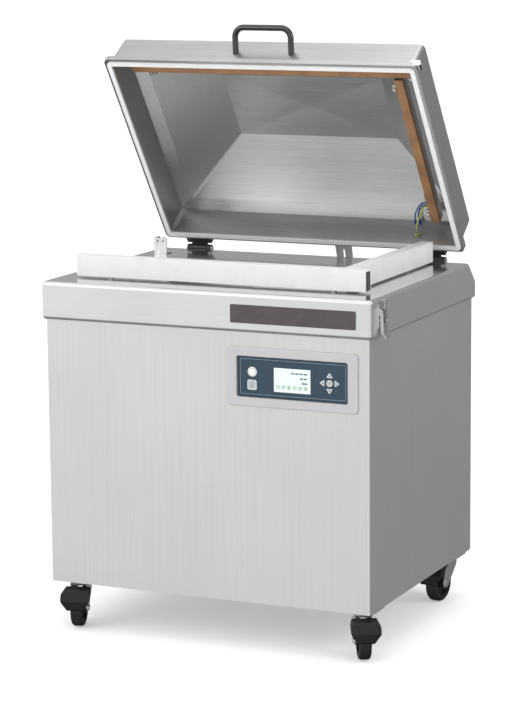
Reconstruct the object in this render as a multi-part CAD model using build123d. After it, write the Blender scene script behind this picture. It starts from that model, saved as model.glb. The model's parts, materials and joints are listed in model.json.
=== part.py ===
from build123d import *
import math
import os

# A floor-standing chamber vacuum packing machine with an L of two sealing bars, on swivel casters.
#
# Working frame: X to the right, Y to the back, Z up, floor at z = 0, cabinet centred on x = y = 0.
# Everything on the lid is drawn in its closed place and then turned open about the hinge pins. Heights
# on the lid are given as w, measured up from the closed lid's rim plane. One common shift at the end
# puts the origin on the floor under the middle of the whole machine's box.

# ---- cabinet ----
BODY_WIDTH = 910
BODY_DEPTH = 740
BODY_BOTTOM = 125
BAND_BOTTOM = 830
BAND_HEIGHT = 100
BAND_OVERHANG = 9
TABLE_TOP = BAND_BOTTOM + BAND_HEIGHT
TABLE_FLAT_END = 325
TABLE_SHEET = 3
BAND_LOW_RADIUS = 9
BAND_TOP_RADIUS = 10
BAND_END_RADIUS = 8
CHAMFER_TOP_RADIUS = 9
CHAMFER_LOW_RADIUS = 15
PANEL_SHEET = 2
PANEL_LIP = 15
PANEL_CORNER_RADIUS = 1.5
BASE_SHEET = 3
BASE_HEIGHT = 33
CHANNEL_WIDTH = 50
BODY_X = BODY_WIDTH / 2
BODY_Y = BODY_DEPTH / 2
BAND_X = BODY_X + BAND_OVERHANG
BAND_Y = BODY_Y + BAND_OVERHANG

# ---- lid ----
HINGE_Y = 345
HINGE_Z = TABLE_TOP + 1
LID_OPEN = 55
RIM_Z = TABLE_TOP + 4.5
LID_MID_Y = -7.5
LID_SHEET = 3
WIDTH_OVER_DEPTH = 129
GASKET_X = 441.5
GASKET_WIDTH = 12
GASKET_LOW = -4
GASKET_HIGH = 10
RIM_OUTER_X = 449.5
RIM_INNER_X = 427
RIM_HEIGHT = 16
# half width of the hood and its corner radius at each height w, from the rim to the edge of the roof
HOOD_SECTIONS = ((14, 438.5, 14), (104, 436.5, 14), (118, 403, 12), (213, 237.5, 7))
HOOD_INNER_DROP = (0, 2, 3, 3)
ROOF_RISE = 4.5

# ---- hinges and gas spring ----
HINGE_X = 352
HINGE_HALF = 37
KNUCKLE_RADIUS = 10.5
KNUCKLE_HALF = 22
LUG_INNER = 22.3
LUG_OUTER = 36
PIN_RADIUS = 6
PIN_CLEARANCE = 0.06
SPRING_X = 76
CRANK_RADIUS = 55
CRANK_ANGLE = LID_OPEN / 2
SPRING_FOOT_Z = 525
SPRING_Y = HINGE_Y + CRANK_RADIUS * math.cos(math.radians(CRANK_ANGLE))
CRANK_DROP = CRANK_RADIUS * math.sin(math.radians(CRANK_ANGLE))

# ---- sealing bars ----
SEAL_LOW = 63
SEAL_HIGH = 92
SEAL_TAB = (78, 82)
SEAL_FRONT_X = (-412, 410)
SEAL_FRONT_Y = (-262, -238)
SEAL_SIDE_X = (346, 368)
SEAL_SIDE_Y = (-228, 266)
TAPE = 0.8
STUD_RADIUS = 4
STUD_PLACES = ((-363, -227), (391, -227), (337.5, -190), (337.5, 246))

# ---- counter bars on the table ----
COUNTER_LOW = TABLE_TOP + 5
COUNTER_HIGH = TABLE_TOP + 58
SILICONE = 2
COUNTER_FRONT_X = (-409, 409)
COUNTER_FRONT_Y = (-284, -248)
COUNTER_SIDE_X = (338, 374)
COUNTER_SIDE_Y = (-246, 285)
LIFT_ROD_RADIUS = 8
LIFT_ROD_LOW = TABLE_TOP - 62
LIFT_PLACES_FRONT = ((-316, -266), (316, -266))
LIFT_PLACES_SIDE = ((356, -138), (356, 131))

# ---- control unit ----
PANEL_X = 245
PANEL_Z = BAND_BOTTOM - 113.75
BEZEL_SIZE = (361, 153)
BEZEL_OPENING = (305, 105.5)
BEZEL_COLLAR = (311, 111)
BEZEL_PROUD = 5
CUTOUT_SIZE = (312, 112)
FACE_SIZE = (304.4, 104.9)
FACE_FRONT = -BODY_Y + 3
FACE_BACK = FACE_FRONT + 3
LEDGE_BACK = FACE_BACK + 2
STOP_PLACE = (134, BAND_BOTTOM - 101)
STOP_RADIUS = 12.5
MENU_PLACE = (133, BAND_BOTTOM - 135)
MENU_SIZE = 26
ARROW_PLACE = (346, BAND_BOTTOM - 117)
ENTER_RADIUS = 8.5
DISPLAY_X = (194, 294)
DISPLAY_Z = (BAND_BOTTOM - 148.5, BAND_BOTTOM - 87)
KEY_GAP = 0.3

# ---- latch on the right end of the band ----
LATCH_Y = -318
LATCH_PIVOT = (BAND_X + 8, TABLE_TOP - 34)
LATCH_LINK = (BAND_X + 8, TABLE_TOP - 52)

# ---- casters ----
CASTER_X = 405
CASTER_Y = 302
WHEEL_RADIUS = 50
WHEEL_WIDTH = 32
TRAIL = 38
AXLE_RADIUS = 5
FORK_TOP = 112
FORK_GAP = 40
FORK_SHEET = 3.2
PEDAL_HINGE = (-4, 100)
PEDAL_CLEARANCE = 6
PEDAL_PIN_RADIUS = 2
# name of each caster, its pivot and how far its trail is turned from straight forward, in degrees
CASTERS = {
    "front_left": (-CASTER_X, -CASTER_Y, 17),
    "front_right": (CASTER_X, -CASTER_Y, 29),
    "rear_left": (-CASTER_X, CASTER_Y, 38),
    "rear_right": (CASTER_X, CASTER_Y, -7),
}


# ---- fittings of the cabinet: suction mouth, cable gland, tray channels and caster bolts ----
PORT_PLACE = (-250, -60)
PORT_PIPE_RADIUS = 20
PORT_FLANGE_RADIUS = 34
INLET_PLACE = (-330, BODY_Y, 190)
INLET_RADIUS = 12
CHANNEL_PLACES = (-150, 20, 190)
BOLT_RADIUS = 4
BOLT_OFFSETS = ((-36, -26), (36, -26), (-36, 26), (36, 26))

# ---- machinery inside the cabinet ----
PUMP_FLOOR = BODY_BOTTOM + BASE_HEIGHT
PUMP_X = (-190, 110)
PUMP_Y = (-80, 120)
MOTOR_RADIUS = 85
HOSE_RADIUS = 18
HOSE_ROUTE = [
    (-100, 20, PUMP_FLOOR + 232),
    (-100, 20, PUMP_FLOOR + 360),
    (-250, -60, PUMP_FLOOR + 500),
    (-250, -60, TABLE_TOP - 40),
]

# ---- gas spring and the lid's fork for it ----
CLEVIS_INNER = 11
CLEVIS_OUTER = 16
EYE_HALF = 8
EYE_RADIUS = 9
SPRING_PIN_RADIUS = 4
SPRING_BODY = (545, 840)
PISTON_LOW = 700

# ---- leads in the lid, as (x, w) or (y, w) ----
EARTH_BOLT = (303, 43)
LEAD_RADIUS = 2
LEAD_WALL_Y = 289
LEAD_GLANDS = ((296, 90), (284, 88))
SLEEVE_RADIUS = 3
# SIDE_SLEEVES is where the leads leave the side bar's inner face, as (y, w)
SIDE_SLEEVES = ((229, 86), (221, 88), (225, 78))
FRONT_SLEEVES = ((-346, -328), (350, 368))
FRONT_SLEEVE_YW = (SEAL_FRONT_Y[1] + SLEEVE_RADIUS, 86)
SLEEVE_END_X = 337
# the leads' routes, as (x, y, w)
BLUE_ROUTES = (
    [(337, 229, 86), (325, 230, 89), (311, 241, 99), (298, 257, 103), (292, 274, 96), (296, 289, 90)],
    [(337, 221, 88), (324, 223, 92), (307, 236, 104), (292, 256, 107), (283, 273, 95), (284, 289, 88)],
)
EARTH_ROUTE = [
    (337, 225, 78),
    (325, 228, 80),
    (315, 243, 85),
    (306, 260, 80),
    (299, 274, 69),
    (297, 284, 58),
    (301, 291, 49),
]
BLACK_LOOP = [
    (345.8, 206, 80),
    (335, 202, 83),
    (330, 191, 92),
    (334, 180, 102),
    (345, 173, 106),
    (357, 172, 100),
    (357, 174, 88),
]
BLACK_LEFT = [(-328, -235, 86), (-315, -232, 88), (-305, -233, 98), (-305, -247, 104), (-305, -254, 88)]
BLACK_RIGHT = [(350, -235, 86), (338, -233, 88), (329, -223, 94), (328, -209, 101), (333, -196, 104)]
BLACK_ROUTES = (BLACK_LOOP, BLACK_LEFT, BLACK_RIGHT)


# ---- building helpers ----
def block(x, y, z):
    """A box from three (low, high) pairs."""
    centre = Pos((x[0] + x[1]) / 2, (y[0] + y[1]) / 2, (z[0] + z[1]) / 2)
    return centre * Box(x[1] - x[0], y[1] - y[0], z[1] - z[0])


def rod(start, end, radius):
    """A round bar from one point to another."""
    run = Vector(*end) - Vector(*start)
    return extrude(Plane(origin=start, z_dir=run) * Circle(radius), amount=run.length)


def outline(points, radii=None):
    """A flat face through the points, with a radius for each corner where radii are given."""
    if radii is None:
        return make_face(Polyline(*points, close=True))
    return make_face(FilletPolyline(*points, radius=radii, close=True))


def prism_x(points, x, radii=None):
    """An outline in (y, z), drawn out along X between two values."""
    return extrude(Plane.YZ.offset(x[0]) * outline(points, radii), amount=x[1] - x[0])


def prism_y(points, y, radii=None):
    """An outline in (x, z), drawn out along Y between two values."""
    return extrude(Plane.XZ.offset(-y[1]) * outline(points, radii), amount=y[1] - y[0])


def rounded_plate(centre, size, y, radius):
    """An upright plate across Y with rounded corners; centre and size are in (x, z)."""
    face = Pos(centre[0], centre[1]) * RectangleRounded(size[0], size[1], radius)
    return extrude(Plane.XZ.offset(-y[1]) * face, amount=y[1] - y[0])


def rounded_slab(centre, size, z, radius):
    """A level plate with rounded corners; centre and size are in (x, y)."""
    face = Pos(centre[0], centre[1]) * RectangleRounded(size[0], size[1], radius)
    return extrude(Plane.XY.offset(z[0]) * face, amount=z[1] - z[0])


def hexagon(start, end, radius):
    """A six-sided bar, such as a bolt head, from one point to another."""
    run = Vector(*end) - Vector(*start)
    return extrude(Plane(origin=start, z_dir=run) * RegularPolygon(radius, 6), amount=run.length)


def tube_along(points, radius):
    """A round cord through the points, with each corner as large an arc as its two runs allow."""
    radii = []
    for before, corner, after in zip(points, points[1:], points[2:]):
        run_in = Vector(*corner) - Vector(*before)
        run_out = Vector(*after) - Vector(*corner)
        turn = math.radians(run_in.get_angle(run_out))
        shorter = min(run_in.length, run_out.length)
        radii.append(0.45 * shorter / math.tan(turn / 2))
    print("cord diameter", 2 * radius, "radii", [round(value, 1) for value in radii])
    path = FilletPolyline(*points, radius=radii)
    return sweep(Plane(origin=path @ 0, z_dir=path % 0) * Circle(radius), path=path)


def group(*shapes):
    """Separate solids that make one node."""
    solids = []
    for shape in shapes:
        solids.extend(shape.solids())
    return Compound(solids)


nodes = {}
lid_nodes = {}


# ---- cabinet ----
def cap_body(inset):
    """The closed outer body of the table cap, or with an inset the hollow inside its sheet."""
    x = BAND_X - inset
    y = BAND_Y - inset
    low = BAND_BOTTOM + inset
    high = TABLE_TOP - inset
    slope = TABLE_FLAT_END + TABLE_TOP - inset * math.sqrt(2)
    low_radius = BAND_LOW_RADIUS - inset
    top_radius = BAND_TOP_RADIUS - inset
    side = [(-y, low), (-y, high), (slope - high, high), (y, slope - y), (y, low)]
    slope_radii = [CHAMFER_TOP_RADIUS - inset, CHAMFER_LOW_RADIUS - inset]
    side_radii = [low_radius, top_radius, *slope_radii, low_radius]
    body = prism_x(side, (-x, x), side_radii)
    ends = body.faces().sort_by(Axis.X)
    return fillet(ends[0].edges() + ends[-1].edges(), BAND_END_RADIUS - inset)


def make_table_top():
    """Drawn table cap: flat working surface, rolled band all round, sloping back edge, open below."""
    top = cap_body(0) - cap_body(TABLE_SHEET)
    lip = 15
    opening_x = (lip - BODY_X, BODY_X - lip)
    opening_y = (lip - BODY_Y, BODY_Y - lip)
    top = top - block(opening_x, opening_y, (BAND_BOTTOM, BAND_BOTTOM + TABLE_SHEET))
    for x, y in LIFT_PLACES_FRONT + LIFT_PLACES_SIDE:
        top = top - rod((x, y, TABLE_TOP - 10), (x, y, TABLE_TOP), LIFT_ROD_RADIUS + KEY_GAP)
    port_x, port_y = PORT_PLACE
    return top - rod((port_x, port_y, TABLE_TOP - 10), (port_x, port_y, TABLE_TOP), PORT_PIPE_RADIUS)


def make_vacuum_port():
    """Suction mouth in the table: slotted flange with its pipe stub below."""
    x, y = PORT_PLACE
    port = rod((x, y, TABLE_TOP), (x, y, TABLE_TOP + 3), PORT_FLANGE_RADIUS)
    port = chamfer(port.edges().group_by(Axis.Z)[-1], 1.2)
    port = port + rod((x, y, TABLE_TOP - 40), (x, y, TABLE_TOP), PORT_PIPE_RADIUS)
    port = port - rod((x, y, TABLE_TOP - 40), (x, y, TABLE_TOP - 4), PORT_PIPE_RADIUS - 3)
    slot_radius = 15.5
    slot_half = 1.6
    for row in (-12, -6, 0, 6, 12):
        half = math.sqrt(slot_radius ** 2 - row ** 2)
        slot_y = (y + row - slot_half, y + row + slot_half)
        port = port - block((x - half, x + half), slot_y, (TABLE_TOP - 5, TABLE_TOP + 3))
    return port


def make_corner_post():
    """Upright angle post at the back left of the table, with two holes near its top."""
    x, y = -405, 215
    high = TABLE_TOP + 45
    post = block((x - 19, x + 19), (y - 16, y - 13), (TABLE_TOP, high))
    post = post + block((x - 19, x - 16), (y - 16, y + 16), (TABLE_TOP, high))
    post = post + block((x - 19, x + 19), (y - 16, y + 16), (TABLE_TOP, TABLE_TOP + 2))
    post = post + rod((x + 8, y - 9, TABLE_TOP), (x + 8, y - 9, high), 5)
    for hole in (-8, 8):
        post = post - rod((x + hole, y - 17, high - 9), (x + hole, y, high - 9), 2.6)
    return post


def make_front_panel():
    """Flat front sheet, with the cut-out that the control unit sits in."""
    panel = block((-BODY_X, BODY_X), (-BODY_Y, PANEL_SHEET - BODY_Y), (BODY_BOTTOM, BAND_BOTTOM))
    front_edges = panel.edges().filter_by(Axis.Z).group_by(Axis.Y)[0]
    panel = fillet(front_edges, PANEL_CORNER_RADIUS)
    cutout = rounded_plate((PANEL_X, PANEL_Z), CUTOUT_SIZE, (-BODY_Y, PANEL_SHEET - BODY_Y), 4)
    return panel - cutout


def make_side_panels():
    """Left and right sheets with lips turned inward at the front and back."""
    panels = []
    front = PANEL_SHEET - BODY_Y
    lip_height = (BODY_BOTTOM + BASE_HEIGHT, BAND_BOTTOM)
    for side in (-1, 1):
        outer = side * BODY_X
        inner = side * (BODY_X - PANEL_SHEET)
        lip = sorted((inner, side * (BODY_X - PANEL_LIP)))
        panel = block(sorted((outer, inner)), (front, -front), (BODY_BOTTOM, BAND_BOTTOM))
        panel = panel + block(lip, (front, front + PANEL_SHEET), lip_height)
        panel = panel + block(lip, (-front - PANEL_SHEET, -front), lip_height)
        panels.append(panel)
    return group(*panels)


def make_rear_panel():
    """Back sheet with louvre slots and the hole for the cable gland."""
    back = (BODY_Y - PANEL_SHEET, BODY_Y)
    panel = block((-BODY_X, BODY_X), back, (BODY_BOTTOM, BAND_BOTTOM))
    panel = fillet(panel.edges().filter_by(Axis.Z).group_by(Axis.Y)[-1], PANEL_CORNER_RADIUS)
    slots = []
    for column in (-230, 270):
        for row in range(9):
            z = 230 + 22 * row
            slots.append(rounded_plate((column, z), (160, 7), back, 3))
    panel = panel - slots
    x, y, z = INLET_PLACE
    return panel - rod((x, back[0], z), (x, back[1], z), INLET_RADIUS)


def make_power_inlet():
    """Cable gland where the mains lead enters the cabinet."""
    x, y, z = INLET_PLACE
    gland = rod((x, y - 16, z), (x, y + 12, z), INLET_RADIUS)
    gland = gland + hexagon((x, y, z), (x, y + 6, z), 17)
    gland = gland + hexagon((x, y - 10, z), (x, y - PANEL_SHEET, z), 17)
    dome = rod((x, y + 12, z), (x, y + 22, z), INLET_RADIUS - 1)
    dome = fillet(dome.edges().group_by(Axis.Y)[-1], 5)
    gland = gland + dome
    return gland - rod((x, y - 16, z), (x, y + 22, z), 5)


def make_base_frame():
    """Bottom tray with upstand walls and three cross channels that carry the pump and casters."""
    x = BODY_X - PANEL_SHEET
    y = BODY_Y - PANEL_SHEET
    high = BODY_BOTTOM + BASE_HEIGHT
    tray = block((-x, x), (-y, y), (BODY_BOTTOM, high))
    floor = BODY_BOTTOM + BASE_SHEET
    inside_x = (BASE_SHEET - x, x - BASE_SHEET)
    inside_y = (BASE_SHEET - y, y - BASE_SHEET)
    tray = tray - block(inside_x, inside_y, (floor, high))
    for middle in CHANNEL_PLACES:
        wide = (middle - CHANNEL_WIDTH / 2, middle + CHANNEL_WIDTH / 2)
        channel = block(inside_x, wide, (floor, high))
        hollow = (wide[0] + BASE_SHEET, wide[1] - BASE_SHEET)
        channel = channel - block((-x, x), hollow, (floor, high - BASE_SHEET))
        tray = tray + channel
    for pivot_x, pivot_y, _ in CASTERS.values():
        for dx, dy in BOLT_OFFSETS:
            place = (pivot_x + dx, pivot_y + dy)
            tray = tray - rod((*place, BODY_BOTTOM), (*place, floor), BOLT_RADIUS + 0.2)
    return tray


def make_name_plate():
    """Blank name plate on the front of the band."""
    plate = rounded_plate((250.5, TABLE_TOP - 52.5), (343, 47), (-BAND_Y - 2, -BAND_Y), 3)
    return fillet(plate.edges().group_by(Axis.Y)[0], 0.8)


# ---- control unit ----
def make_control_bezel():
    """Moulded frame round the control unit, with a collar through the front sheet and a back ledge."""
    place = (PANEL_X, PANEL_Z)
    front = -BODY_Y - BEZEL_PROUD
    bezel = rounded_plate(place, BEZEL_SIZE, (front, -BODY_Y), 12)
    bezel = fillet(bezel.edges().group_by(Axis.Y)[0], 3)
    bezel = bezel + rounded_plate(place, BEZEL_COLLAR, (-BODY_Y, LEDGE_BACK), 3.5)
    bezel = bezel - rounded_plate(place, BEZEL_OPENING, (front, FACE_BACK), 6)
    ledge_opening = (BEZEL_OPENING[0] - 8, BEZEL_OPENING[1] - 6)
    bezel = bezel - rounded_plate(place, ledge_opening, (FACE_BACK, LEDGE_BACK), 4)
    reach_x = BEZEL_OPENING[0] / 2 + 1.5
    reach_z = BEZEL_OPENING[1] / 2 + 1.25
    rim = bezel.edges().filter_by(lambda edge: abs(edge.center().Y - front) < 0.01)
    rim = rim.filter_by(lambda edge: abs(edge.center().X - PANEL_X) < reach_x)
    inner_rim = rim.filter_by(lambda edge: abs(edge.center().Z - PANEL_Z) < reach_z)
    return chamfer(inner_rim, 1.5)


def arrow(angle, grow):
    """One triangular key of the arrow pad, pointing out at an angle; grow widens it all round."""
    near, far, half = 14 - grow, 27.5 + 2 * grow, 9 + 1.6 * grow
    points = [(near, -half), (far, 0), (near, half)]
    return Rot(0, 0, angle) * outline(points, [1.5, 2, 1.5])


def make_control_face():
    """Printed face plate with the windows for the display and the keys."""
    y = (FACE_FRONT, FACE_BACK)
    face = rounded_plate((PANEL_X, PANEL_Z), FACE_SIZE, y, 5.7)
    display_centre = (sum(DISPLAY_X) / 2, sum(DISPLAY_Z) / 2)
    display_wide = DISPLAY_X[1] - DISPLAY_X[0] + 2 * KEY_GAP
    display_high = DISPLAY_Z[1] - DISPLAY_Z[0] + 2 * KEY_GAP
    face = face - rounded_plate(display_centre, (display_wide, display_high), y, 1.3)
    stop_x, stop_z = STOP_PLACE
    face = face - rod((stop_x, y[0], stop_z), (stop_x, y[1], stop_z), STOP_RADIUS + KEY_GAP)
    menu_window = MENU_SIZE + 2 * KEY_GAP
    face = face - rounded_plate(MENU_PLACE, (menu_window, menu_window), y, 5.3)
    pad_x, pad_z = ARROW_PLACE
    face = face - rod((pad_x, y[0], pad_z), (pad_x, y[1], pad_z), ENTER_RADIUS + KEY_GAP)
    for angle in (0, 90, 180, 270):
        window = Plane.XZ.offset(-FACE_BACK) * (Pos(pad_x, pad_z) * arrow(angle, KEY_GAP))
        face = face - extrude(window, amount=FACE_BACK - FACE_FRONT)
    return face


def make_control_display():
    """Display module: its window stands a little proud of the face plate."""
    centre = (sum(DISPLAY_X) / 2, sum(DISPLAY_Z) / 2)
    size = (DISPLAY_X[1] - DISPLAY_X[0], DISPLAY_Z[1] - DISPLAY_Z[0])
    window = rounded_plate(centre, size, (FACE_FRONT - 1.2, FACE_BACK), 1)
    module = rounded_plate(centre, (size[0] + 8, size[1] + 8), (FACE_BACK, FACE_BACK + 6), 2)
    return window + module


def make_stop_button():
    """Round stop key with a retaining flange behind the face plate."""
    x, z = STOP_PLACE
    cap = rod((x, FACE_FRONT - 2.5, z), (x, LEDGE_BACK, z), STOP_RADIUS)
    cap = fillet(cap.edges().group_by(Axis.Y)[0], 1.2)
    return cap + rod((x, FACE_BACK + KEY_GAP, z), (x, LEDGE_BACK, z), STOP_RADIUS + 1.6)


def make_menu_button():
    """Square menu key with a retaining flange behind the face plate."""
    cap = rounded_plate(MENU_PLACE, (MENU_SIZE, MENU_SIZE), (FACE_FRONT - 1.5, LEDGE_BACK), 5)
    cap = fillet(cap.edges().group_by(Axis.Y)[0], 0.8)
    flange_size = (MENU_SIZE + 3, MENU_SIZE + 3)
    return cap + rounded_plate(MENU_PLACE, flange_size, (FACE_BACK + KEY_GAP, LEDGE_BACK), 6)


def make_arrow_pad():
    """Four arrow keys on one ring behind the face plate."""
    x, z = ARROW_PLACE
    ring = rod((x, FACE_BACK + KEY_GAP, z), (x, LEDGE_BACK, z), 29)
    pad = ring - rod((x, FACE_BACK + KEY_GAP, z), (x, LEDGE_BACK, z), ENTER_RADIUS + 3)
    for angle in (0, 90, 180, 270):
        key = Plane.XZ.offset(-LEDGE_BACK) * (Pos(x, z) * arrow(angle, 0))
        pad = pad + extrude(key, amount=LEDGE_BACK - FACE_FRONT + 1.2)
    return pad


def make_enter_key():
    """Round key in the middle of the arrow pad."""
    x, z = ARROW_PLACE
    cap = rod((x, FACE_FRONT - 1.2, z), (x, LEDGE_BACK, z), ENTER_RADIUS)
    return cap + rod((x, FACE_BACK + KEY_GAP, z), (x, LEDGE_BACK, z), ENTER_RADIUS + 1.5)


def make_control_board():
    """Circuit board behind the keys, on four pillars, with its larger components."""
    y = (-350, -348)
    board = rounded_plate((PANEL_X, PANEL_Z), (292, 94), y, 3)
    for dx in (-141, 141):
        for dz in (-42, 42):
            x = PANEL_X + dx
            z = PANEL_Z + dz
            board = board + rod((x, LEDGE_BACK - 0.01, z), (x, y[0], z), 3.4)
    # each component's place on the board, then its width, height and depth
    components = ((-100, 10, 40, 30, 14), (-30, -12, 26, 26, 6), (60, 5, 60, 40, 22))
    for dx, dz, wide, high, deep in components:
        x = PANEL_X + dx
        z = PANEL_Z + dz
        across = (x - wide / 2, x + wide / 2)
        board = board + block(across, (y[1], y[1] + deep), (z - high / 2, z + high / 2))
    return board


# ---- machinery in the cabinet ----
def make_vacuum_pump():
    """Oil-flooded rotary pump: cast housing, oil box, inlet neck, filler and feet."""
    middle = sum(PUMP_Y) / 2
    body = block(PUMP_X, PUMP_Y, (PUMP_FLOOR + 20, PUMP_FLOOR + 200))
    body = fillet(body.edges().filter_by(Axis.X), 18)
    foot_x = (PUMP_X[0] + 15, PUMP_X[1] - 15)
    foot_y = (PUMP_Y[0] - 12, PUMP_Y[1] + 12)
    body = body + block(foot_x, foot_y, (PUMP_FLOOR, PUMP_FLOOR + 22))
    rib_y = (PUMP_Y[0] + 20, PUMP_Y[1] - 20)
    for rib in range(6):
        x = PUMP_X[0] + 150 + 24 * rib
        body = body + block((x, x + 5), rib_y, (PUMP_FLOOR + 195, PUMP_FLOOR + 212))
    neck = (HOSE_ROUTE[0][0], HOSE_ROUTE[0][1])
    body = body + rod((*neck, PUMP_FLOOR + 190), (*neck, PUMP_FLOOR + 232), 24)
    filler = (PUMP_X[0] + 40, middle - 60)
    body = body + rod((*filler, PUMP_FLOOR + 195), (*filler, PUMP_FLOOR + 222), 15)
    sight_z = PUMP_FLOOR + 60
    return body + rod((PUMP_X[0] - 3, middle, sight_z), (PUMP_X[0] + 4, middle, sight_z), 16)


def make_pump_motor():
    """Finned electric motor on the end of the pump, with a fan cowl and terminal box."""
    y = sum(PUMP_Y) / 2
    z = PUMP_FLOOR + 110
    start = PUMP_X[1]
    motor = rod((start, y, z), (start + 210, y, z), MOTOR_RADIUS - 10)
    motor = motor + rod((start, y, z), (start + 12, y, z), MOTOR_RADIUS)
    motor = motor + rod((start + 165, y, z), (start + 225, y, z), MOTOR_RADIUS - 2)
    fins = 24
    for number in range(fins):
        turn = Pos(0, y, z) * Rot(360 / fins * number, 0, 0)
        fin = block((start + 12, start + 165), (-1.6, 1.6), (MOTOR_RADIUS - 14, MOTOR_RADIUS - 3))
        motor = motor + turn * fin
    motor = motor + block((start + 50, start + 120), (y - 38, y + 38), (z + 60, z + 112))
    for foot in (start + 30, start + 140):
        motor = motor + block((foot, foot + 24), (y - 70, y + 70), (PUMP_FLOOR, PUMP_FLOOR + 44))
    return motor


def make_suction_hose():
    """Hose from the pump's neck up to the suction mouth in the table."""
    return tube_along(HOSE_ROUTE, HOSE_RADIUS)


def make_seal_transformer():
    """Transformer that heats the sealing bars: laminated core and two windings on a foot plate."""
    x, y, z = -330, 60, PUMP_FLOOR
    core_y = (y - 45, y + 45)
    winding_z = (z + 31, z + 79)
    core = block((x - 60, x + 60), core_y, (z + 5, z + 105))
    for side in (-1, 1):
        middle = x + side * 26
        core = core - block((middle - 12, middle + 12), core_y, (z + 30, z + 80))
    plate = block((x - 70, x + 70), (y - 60, y + 160), (z, z + 5))
    winding = block((x - 36, x + 36), (y - 58, y + 58), winding_z)
    winding = winding - block((x - 14, x + 14), core_y, winding_z)
    return group(core + plate, winding)


# ---- lid ----
def hood_section(level, half_width, radius):
    """The hood's rounded rectangle at one height."""
    face = RectangleRounded(2 * half_width, 2 * (half_width - WIDTH_OVER_DEPTH), radius)
    return Plane(origin=(0, LID_MID_Y, RIM_Z + level)) * face


def hood_body(inset):
    """The hood's closed outer body, or with an inset the hollow under its sheet."""
    levels = []
    for (level, half_width, radius), drop in zip(HOOD_SECTIONS, HOOD_INNER_DROP):
        lowered = level - drop * inset / LID_SHEET
        levels.append(hood_section(lowered, half_width - inset, radius - inset))
    walls = loft(levels, ruled=True)
    top_level, top_half, top_radius = HOOD_SECTIONS[-1]
    top = hood_section(top_level - inset, top_half - inset, top_radius - inset)
    apex = Vertex(0, LID_MID_Y, RIM_Z + top_level - inset + ROOF_RISE)
    return walls + loft([top, apex], ruled=True)


def rim_ring(outer, inner, radius, w):
    """A level rounded frame round the lid between two half widths."""
    size_out = (2 * outer, 2 * (outer - WIDTH_OVER_DEPTH))
    size_in = (2 * inner, 2 * (inner - WIDTH_OVER_DEPTH))
    z = (RIM_Z + w[0], RIM_Z + w[1])
    ring = rounded_slab((0, LID_MID_Y), size_out, z, radius)
    return ring - rounded_slab((0, LID_MID_Y), size_in, z, max(radius - outer + inner, 3))


def make_lid_hood():
    """Pressed sheet hood: upright walls, a shoulder, four sloping faces and a peaked roof, on a rim."""
    hood = hood_body(0) - hood_body(LID_SHEET)
    rim = rim_ring(RIM_OUTER_X, RIM_INNER_X, 14, (0, RIM_HEIGHT))
    groove = rim_ring(GASKET_X, GASKET_X - GASKET_WIDTH, 12, (0, GASKET_HIGH))
    return hood + (rim - groove)


def make_lid_gasket():
    """Silicone lid gasket in the rim's groove, with a rounded lip that meets the table."""
    return rim_ring(GASKET_X, GASKET_X - GASKET_WIDTH, 12, (GASKET_LOW, GASKET_HIGH))


def make_lid_handle(hood_outer):
    """Bow handle of polished tube on the front of the lid."""
    half, reach, tube, inside = 80, 66, 8, 12
    tilt = math.radians(30)
    base_y = LID_MID_Y - (HOOD_SECTIONS[0][1] - WIDTH_OVER_DEPTH)
    base_z = RIM_Z + 55

    def along(distance):
        return (base_y - distance * math.cos(tilt), base_z + distance * math.sin(tilt))

    root = along(-inside)
    bow = along(reach)
    points = [(-half, *root), (-half, *bow), (half, *bow), (half, *root)]
    path = FilletPolyline(*points, radius=26)
    handle = sweep(Plane(origin=path @ 0, z_dir=path % 0) * Circle(tube), path=path)
    return handle - hood_outer


def make_hinge_arms(hood_outer):
    """Two hinge arms on the back of the lid, each with a knuckle round its pin."""
    z = RIM_Z
    back = LID_MID_Y + RIM_OUTER_X - WIDTH_OVER_DEPTH
    arm_outline = [
        (290, z + 70),
        (290, z + 16.3),
        (back + 0.3, z + 16.3),
        (back + 0.3, z + 2),
        (332, z + 2),
        (332, z + 30),
        (322, z + 70),
    ]
    arms = []
    for side in (-1, 1):
        middle = side * HINGE_X
        wide = (middle - HINGE_HALF, middle + HINGE_HALF)
        narrow = (middle - KNUCKLE_HALF, middle + KNUCKLE_HALF)
        arm = prism_x(arm_outline, wide, [0, 0, 0, 1.5, 3, 8, 4])
        arm = arm + block(narrow, (330, HINGE_Y), (RIM_Z - 4, RIM_Z + 8))
        ends = ((narrow[0], HINGE_Y, HINGE_Z), (narrow[1], HINGE_Y, HINGE_Z))
        arm = arm + rod(*ends, KNUCKLE_RADIUS)
        arm = arm - rod(*ends, PIN_RADIUS + PIN_CLEARANCE)
        arms.append(arm - hood_outer)
    return group(*arms)


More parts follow.
